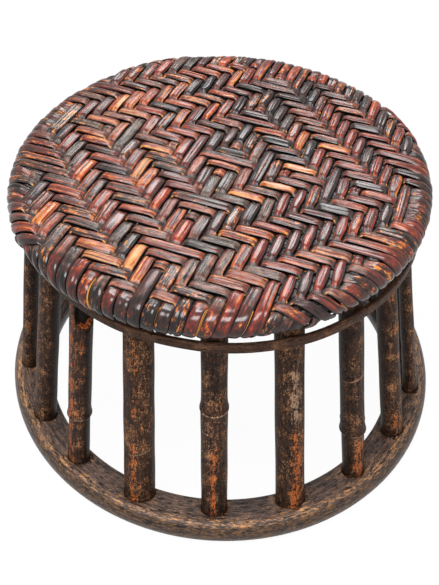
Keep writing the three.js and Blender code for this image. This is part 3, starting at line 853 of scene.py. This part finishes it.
def baseTone(co):
    share = ovalShare(co, base["ovality"])
    offShoulder = (share - baseOuter + baseWear["shoulderInset"]) / baseWear["shoulderSpread"]
    shoulder = math.exp(-offShoulder ** 2) * (co.z > base["belly"])
    side = baseWear["side"] * smooth(*(baseOuter - inset for inset in baseWear["sideInset"]), share)
    rub = 0.0
    for fact in facts.values():
        axis = leanMatrix(fact) @ Vector((0, 0, co.z))
        gap = math.hypot(co.x - axis.x, co.y - axis.y) - fact["footRadius"]
        rub = max(rub, 1 - smooth(*baseWear["footFade"], gap))
    # The outer side is painted darker; the socket floors and the ring's foot by the floor get painted shade
    stainAndShade = baseWear["sideDarkening"] * smooth(baseWear["sideDarkeningFrom"], baseWear["side"], side)
    if co.z < base["socketFloor"] + 0.0005 and rub > 0.99:
        stainAndShade = baseWear["socketShade"]
    stainAndShade = max(stainAndShade, baseWear["floorShade"] * (1 - smooth(*baseWear["floorFade"], co.z)))
    wear = max(baseWear["shoulder"] * shoulder, side, baseWear["foot"] * rub)
    return (wear, baseWear["shoulderScuff"] * shoulder, stainAndShade)


def makeBase():
    ring = spinProfile(baseProfile(), base["steps"])
    stretchOval(ring, base["ovality"])
    sockets = bmesh.new()
    lift = Matrix.Translation(Vector((0, 0, base["socketFloor"] + base["socketHeight"] / 2)))
    for fact in facts.values():
        radius = fact["footRadius"] + base["socketEase"]
        tool = bmesh.ops.create_cone(sockets, cap_ends=True, segments=base["socketSides"], radius1=radius,
                                     radius2=radius, depth=base["socketHeight"])
        bmesh.ops.transform(sockets, matrix=leanMatrix(fact) @ lift, verts=tool["verts"])
    ring = cutWith(ring, sockets)
    paint(ring, basePlace, baseTone)
    makePiece("base_cane_ring", ring, baseBark, "base_cane", "base_ring")


makeBase()
print("base ring spun, sockets cut")


# Posts

# A patch is its bearing, half breadth, lower and upper height, and strength; a scratch is its bearing,
# height, reach and slope; a ring is its distance over the knuckle or the base
# Stain patches darken the flanks: partly stain, partly painted shade
postDress = {
    "post_01": dict(worn=[(-120, 60, 0.05, 0.17, 0.35)]),
    "post_02": dict(worn=[(-120, 60, 0.03, 0.2, 0.2)], stainAndShade=[(-50, 40, 0.02, 0.235, 0.75)]),
    "post_03": dict(knuckle=0.082, worn=[(-140, 30, 0.02, 0.235, 0.95), (-95, 70, 0.09, 0.225, 0.6)],
                    stainAndShade=[(-48, 26, 0.02, 0.235, 0.85)]),
    "post_04": dict(footRing=0.0035, scratch=(-80, 0.083, 40, 0.3),
                    worn=[(-112, 30, 0.02, 0.1, 0.95), (-108, 26, 0.12, 0.225, 0.75),
                          (-70, 50, 0.06, 0.2, 0.3)]),
    "post_05": dict(knuckle=0.146, scuff=[(-120, 22, 0.1, 0.14, 0.7)],
                    worn=[(-92, 24, 0.02, 0.115, 0.95), (-55, 36, 0.015, 0.05, 0.6),
                          (-60, 14, 0.15, 0.175, 1.0)],
                    stainAndShade=[(-92, 34, 0.17, 0.235, 0.65), (-60, 16, 0.02, 0.13, 0.5)]),
    "post_06": dict(footRing=0.0022, scuff=[(-66, 36, 0.125, 0.195, 1.15)],
                    worn=[(-68, 34, 0.02, 0.125, 1.15), (-20, 20, 0.02, 0.23, 0.3)],
                    stainAndShade=[(-116, 30, 0.02, 0.235, 0.3)]),
    "post_07": dict(knuckle=0.076, ghostRing=0.012, scratch=(-76, 0.142, 50, 0.3),
                    worn=[(-60, 50, 0.02, 0.07, 0.9), (-30, 30, 0.09, 0.13, 0.7)],
                    stainAndShade=[(-115, 30, 0.02, 0.235, 0.6)]),
    "post_08": dict(worn=[(-60, 50, 0.02, 0.08, 0.7), (-50, 24, 0.15, 0.22, 0.7)]),
    "post_09": dict(worn=[(-70, 50, 0.02, 0.09, 0.3)]),
    "post_11": dict(knuckle=0.120, worn=[(20, 30, 0.02, 0.1, 0.8)]),
    "post_12": dict(worn=[(60, 30, 0.02, 0.12, 0.7)]),
    "post_13": dict(knuckle=0.095, worn=[(70, 26, 0.02, 0.08, 1.0)]),
    "post_14": dict(worn=[(95, 30, 0.05, 0.17, 0.8)], scuff=[(75, 25, 0.14, 0.2, 0.7)]),
    "post_15": dict(knuckle=0.135, worn=[(100, 22, 0.02, 0.12, 0.9)]),
    "post_16": dict(worn=[(130, 30, 0.03, 0.1, 0.7)]),
    "post_17": dict(knuckle=0.070, worn=[(150, 30, 0.02, 0.2, 0.7)]),
}
# A knuckle's outline: heights, with metres over the lower radius or a share of the upper one's rise
knuckleBelow = [(-0.0075, 0.0), (-0.0032, 0.0), (-0.0022, 0.0002), (-0.0016, 0.0008)]
knuckleAbove = [(-0.0011, 0.8), (-0.0005, 1.1), (0.0003, 1.1), (0.0012, 0.85), (0.003, 0.5), (0.0065, 0.15),
                (0.0105, 0.0)]
knuckleClear = dict(below=0.008, above=0.012)
# Thin rings round a post: heights, with metres over its radius
ghostRing = [(0.0, 0.0), (0.0007, 0.0004), (0.0014, 0.0)]
footRing = [(-0.0012, 0.0), (0.0, -0.0006), (0.0012, 0.0001)]
footRingClear = 0.0025
notch = dict(post="post_03", height=0.035, depth=0.0095, scoop=0.0112, drop=0.031, heading=-54, bore=0.0115,
             breadth=1.4, boreHeight=1.5, boreDrop=0.25, facing=0.3, reach=0.55, skin=0.0012, torn=0.3)


# Heights and radii of a post from the middle of its foot to the end of its tenon
def postProfile(fact, dress):
    floor, top = fact["foot"].z, fact["head"].z
    footRadius, headRadius = fact["footRadius"], fact["headRadius"]
    knuckle = dress.get("knuckle")

    def radiusAt(z):
        if not knuckle:
            return footRadius + (headRadius - footRadius) * (z - floor) / (top - floor)
        return headRadius if z > knuckle else footRadius

    turn, step = postShape["footRound"], postShape["ringStep"]
    heights = [floor + turn + k * step for k in range(math.ceil((top - floor) / step))]
    heights = [z for z in heights if z < top - postShape["topGap"]]
    if knuckle:
        low, high = knuckle - knuckleClear["below"], knuckle + knuckleClear["above"]
        heights = [z for z in heights if not low < z < high]
    profile = [(z, radiusAt(z)) for z in heights] + [(top, radiusAt(top))]
    if knuckle:
        rise = postShape["knuckleRise"]
        profile += [(knuckle + off, footRadius + out) for off, out in knuckleBelow]
        profile += [(knuckle + off, headRadius + rise * share) for off, share in knuckleAbove]
    if "ghostRing" in dress:
        profile += [(knuckle + dress["ghostRing"] + off, headRadius + out) for off, out in ghostRing]
    if "footRing" in dress:
        level = base["height"] + dress["footRing"]
        profile = [point for point in profile if abs(point[0] - level) > footRingClear]
        profile += [(level + off, footRadius + out) for off, out in footRing]
    profile.sort()
    start = [(floor, 0.0), (floor, footRadius - turn), (floor + turn * 0.3, footRadius - turn * 0.3)]
    tenon, end = postShape["tenonRadius"], top + postShape["tenonLength"] - postShape["tenonEase"]
    return start + profile + [(top, tenon), (end, tenon), (end, 0.0)]


# A scoop in the culm's side, and the bore it opens
def notchTool(fact):
    tool = bmesh.new()
    z = fact["head"].z - notch["drop"]
    scoopRadius, boreRadius = notch["scoop"], notch["bore"] / 2
    reach = scoopRadius + fact["headRadius"] - notch["depth"]
    scoop = bmesh.ops.create_uvsphere(tool, u_segments=32, v_segments=20, radius=1)["verts"]
    turn = Matrix.Rotation(math.radians(notch["heading"]), 4, "Z")
    size = Matrix.Diagonal((scoopRadius, scoopRadius * notch["breadth"], notch["height"] / 2, 1))
    place = Matrix.Translation((0, 0, z)) @ turn @ Matrix.Translation((reach, 0, 0)) @ size
    bmesh.ops.transform(tool, matrix=place, verts=scoop)
    bore = bmesh.ops.create_cone(tool, cap_ends=True, segments=28, radius1=boreRadius, radius2=boreRadius,
                                 depth=notch["boreHeight"] * notch["height"])["verts"]
    lower = Matrix.Translation((0, 0, z - notch["boreDrop"] * notch["height"]))
    bmesh.ops.transform(tool, matrix=lower, verts=bore)
    return tool


# How patches and scratches fade, and the painted shade on sides turned to the stool's middle, under the seat
# and at the foot
fade = dict(lower=(-0.012, 0.006), upper=(-0.02, 0.012), sides=1.5, scratch=1.6)
paintedPostShade = dict(most=0.75, inner=0.68, innerFade=(48, 105), top=0.3, topFade=(0.18, 0.225), foot=0.55,
             footFade=(0.0225, 0.0255))
knuckleLine = dict(low=-0.0018, high=0.0002, scuff=1.3)
# The culm's hollow, seen through the notch, is painted dark as painted shade
hollow = dict(share=0.8, above=0.01, below=0.001, stainAndShade=0.9)


# How worn, scuffed and stained its patches make a point
def patchShares(dress, heading, z):
    shares = []
    for kind in ("worn", "scuff", "stainAndShade"):
        share = 0.0
        for at, half, low, high, strength in dress.get(kind, []):
            rise = smooth(*(low + off for off in fade["lower"]), z)
            band = rise * (1 - smooth(*(high + off for off in fade["upper"]), z))
            aside = abs(turned(heading - at))
            share = max(share, strength * band * (1 - smooth(0, fade["sides"] * half, aside)))
        shares.append(share)
    knuckle = dress.get("knuckle")
    if knuckle and knuckleLine["low"] < z - knuckle < knuckleLine["high"]:
        shares[1] = knuckleLine["scuff"]
    return shares


# The hollow inside the notch is painted black as painted shade, and its lower lip is torn to raw wood
def notchShares(fact, co):
    away = math.radians(headingOf(co) - notch["heading"])
    middle = fact["head"].z - notch["drop"]
    depth = fact["headRadius"] - math.hypot(co.x, co.y)
    level = abs(co.z - middle) < notch["reach"] * notch["height"]
    if math.cos(away) <= notch["facing"] or not level or depth <= notch["skin"]:
        return None
    return (1.3, 0, 0.2) if co.z < middle - notch["torn"] * notch["height"] else (0, 0, 1.0)


def postTone(name, fact, dress, co):
    if name == notch["post"] and notchShares(fact, co):
        return notchShares(fact, co)
    worn, scuff, stainAndShade = patchShares(dress, headingOf(co), co.z)
    # Painted shade inside the culm's hollow
    level = fact["foot"].z + hollow["above"] < co.z < fact["head"].z - hollow["below"]
    if level and math.hypot(co.x, co.y) < hollow["share"] * fact["footRadius"]:
        return (worn, scuff, hollow["stainAndShade"])
    # Painted shade: darker on the sides turned away from the outside, near the seat and at the foot
    off = abs(turned(headingOf(co) - headingOf(fact["foot"])))
    inner = paintedPostShade["inner"] * smooth(*paintedPostShade["innerFade"], off)
    dark = min(paintedPostShade["most"], inner + paintedPostShade["top"] * smooth(*paintedPostShade["topFade"], co.z))
    return (worn, scuff, max(dark, paintedPostShade["foot"] * (1 - smooth(*paintedPostShade["footFade"], co.z)), stainAndShade))


def scratchMark(fact, dress, co):
    if "scratch" not in dress:
        return (1, 0, 0)
    at, z, reach, slope = dress["scratch"]
    off = turned(headingOf(co) - at)
    sideways = math.radians(off) * fact["headRadius"]
    return (co.z - z - slope * sideways, 1 - smooth(reach, fade["scratch"] * reach, abs(off)), 0)


def makePost(name):
    fact, dress = facts[name], postDress.get(name, {})
    outline = [(radius, z) for z, radius in postProfile(fact, dress)]
    bm = spinProfile(outline, postShape["sides"], closed=False)
    dice = random.Random(name)
    rate, phase = dice.uniform(60, 110), dice.uniform(0, 6)
    waver = postShape["waver"] / fact["headRadius"]
    for vert in bm.verts:
        angle = math.atan2(vert.co.y, vert.co.x)
        uneven = math.sin(2 * angle + phase) + math.sin(rate * vert.co.z + phase)
        uneven += 0.5 * math.sin(3 * angle + 40 * vert.co.z)
        vert.co.x *= 1 + waver * uneven
        vert.co.y *= 1 + waver * uneven
    if name == notch["post"]:
        bm = cutWith(bm, notchTool(fact))
    shift = dice.uniform(0, 9)
    paint(bm, lambda co: (co.x + shift, co.y + shift, co.z), lambda co: postTone(name, fact, dress, co),
          lambda co: scratchMark(fact, dress, co))
    bmesh.ops.transform(bm, matrix=leanMatrix(fact), verts=bm.verts)
    if "knuckle" in dress:
        makePiece(name.replace("post", "culm"), bm, bambooBark, "bamboo", name)
    else:
        makePiece(name.replace("post", "rod"), bm, postWood, "post_wood", name)


for name in postNames:
    makePost(name)
print("posts turned:", len(postNames))


# Binding hoop

# A wave is its count round the stool, shift and height
hoop = dict(
    radius=0.1848, thickness=0.0048, height=0.0096, level=0.2247, tilt=2.7, ovality=0.015, steps=180,
    faceRound=0.0022, edgeRound=0.0014, cornerSteps=4, waves=((7, 1, 0.0004), (13, 0, 0.0003)),
    wear=0.25, wearSwing=0.2, wearCount=5, scuff=0.2,
)


def hoopTone(co):
    swing = math.sin(hoop["wearCount"] * math.atan2(co.y, co.x))
    return (hoop["wear"] + hoop["wearSwing"] * swing, hoop["scuff"], 0)


def makeHoop():
    low, high = hoop["level"] - hoop["height"] / 2, hoop["level"] + hoop["height"] / 2
    near, far = hoop["radius"] - hoop["thickness"], hoop["radius"]
    edge, rounded = hoop["edgeRound"], hoop["faceRound"]
    corners = [(near + edge, low + edge, edge, 180), (far - rounded, low + edge, rounded, 270),
               (far - rounded, high - edge, rounded, 0), (near + edge, high - edge, edge, 90)]
    profile = []
    for x, z, reach, start in corners:
        profile += arcPoints((x, z), (reach, edge), start, start + 90, hoop["cornerSteps"])
    strip = spinProfile(profile, hoop["steps"])
    for vert in strip.verts:
        azimuth = math.atan2(vert.co.y, vert.co.x)
        rises = [height * math.sin(count * azimuth + shift) for count, shift, height in hoop["waves"]]
        vert.co.z += sum(rises)
    paint(strip, roundPlace, hoopTone)
    stretchOval(strip, hoop["ovality"])
    tilt = Matrix.Identity(4)
    tilt[2][0] = -math.tan(math.radians(hoop["tilt"]))
    bmesh.ops.transform(strip, matrix=tilt, verts=strip.verts)
    makePiece("cane_hoop", strip, hoopBark, "dark_cane", "binding_hoop")


makeHoop()
print("hoop bent")


# Camera, lamps and floor

view = dict(location=(-0.0002, -0.9546, 1.0343), target=(-0.0002, 0.0, 0.1082), lens=84.44, sensor=36)
studio = dict(skyLight=0.2, floorRadius=4, floorSides=64, paperRoughness=0.9, paperGlow=0.96)


def aim(thing, location, target):
    thing.location = location
    thing.rotation_euler = (Vector(target) - Vector(location)).to_track_quat("-Z", "Y").to_euler()
    bpy.context.scene.collection.objects.link(thing)


cameraData = bpy.data.cameras.new("camera")
camera = bpy.data.objects.new("camera", cameraData)
cameraData.lens = view["lens"]
cameraData.sensor_width = view["sensor"]
aim(camera, view["location"], view["target"])
bpy.context.scene.camera = camera
bpy.context.scene.view_settings.view_transform = "Standard"


def addLamp(name, location, target, size, power, shines=True):
    data = bpy.data.lights.new(name, "AREA")
    data.shape = "RECTANGLE"
    data.size, data.size_y = size
    data.energy = power
    lamp = bpy.data.objects.new(name, data)
    lamp.visible_glossy = shines
    aim(lamp, location, target)


addLamp("keyLamp", location=(-0.3, -0.5, 1.9), target=(0, 0, 0.2), size=(1.0, 0.8), power=44)
addLamp("fillLamp", location=(0.35, -1.7, 1.0), target=(0, 0, 0.12), size=(1.7, 1.4), power=30, shines=False)
addLamp("backLamp", location=(0.05, 1.3, 1.5), target=(0, 0, 0.2), size=(0.7, 0.5), power=21)


# 1 for the rays that see the studio's white background: from the camera, in a reflection and through glass
def backgroundRays(tree):
    rays = addNode(tree, "ShaderNodeLightPath").outputs
    return total(tree, rays["Is Camera Ray"], rays["Is Glossy Ray"], rays["Is Transmission Ray"])


def makeWorld():
    world = bpy.data.worlds.new("studio")
    bpy.context.scene.world = world
    world.use_nodes = True
    tree = world.node_tree
    background = tree.nodes["Background"]
    strength = span(tree, backgroundRays(tree), 0.0, 1.0, studio["skyLight"], 1.0)
    tree.links.new(strength, background.inputs["Strength"])
    background.inputs["Color"].default_value = (1, 1, 1, 1)


# White paper: it glows for the rays that see the background and scatters the others
def whitePaper():
    paper = bpy.data.materials.new("whitePaper")
    paper.use_nodes = True
    tree = paper.node_tree
    shader = tree.nodes["Principled BSDF"]
    shader.inputs["Roughness"].default_value = studio["paperRoughness"]
    glow = addNode(tree, "ShaderNodeEmission", {"Color": (1, 1, 1, 1), "Strength": 1.0})
    seen = span(tree, backgroundRays(tree), 0.0, 1.0)
    tree.links.new(blend(tree, seen, "#8c8a88", "#f4f4f4"), shader.inputs["Base Color"])
    share = product(tree, seen, studio["paperGlow"])
    mixed = addNode(tree, "ShaderNodeMixShader", {0: share, 1: shader.outputs[0], 2: glow.outputs[0]})
    tree.links.new(mixed.outputs[0], tree.nodes["Material Output"].inputs["Surface"])
    return paper


def makeFloor():
    bm = bmesh.new()
    bmesh.ops.create_circle(bm, cap_ends=True, segments=studio["floorSides"], radius=studio["floorRadius"])
    mesh = bpy.data.meshes.new("floor")
    bm.to_mesh(mesh)
    bm.free()
    floor = bpy.data.objects.new("floor", mesh)
    bpy.context.scene.collection.objects.link(floor)
    mesh.materials.append(whitePaper())


makeWorld()
makeFloor()
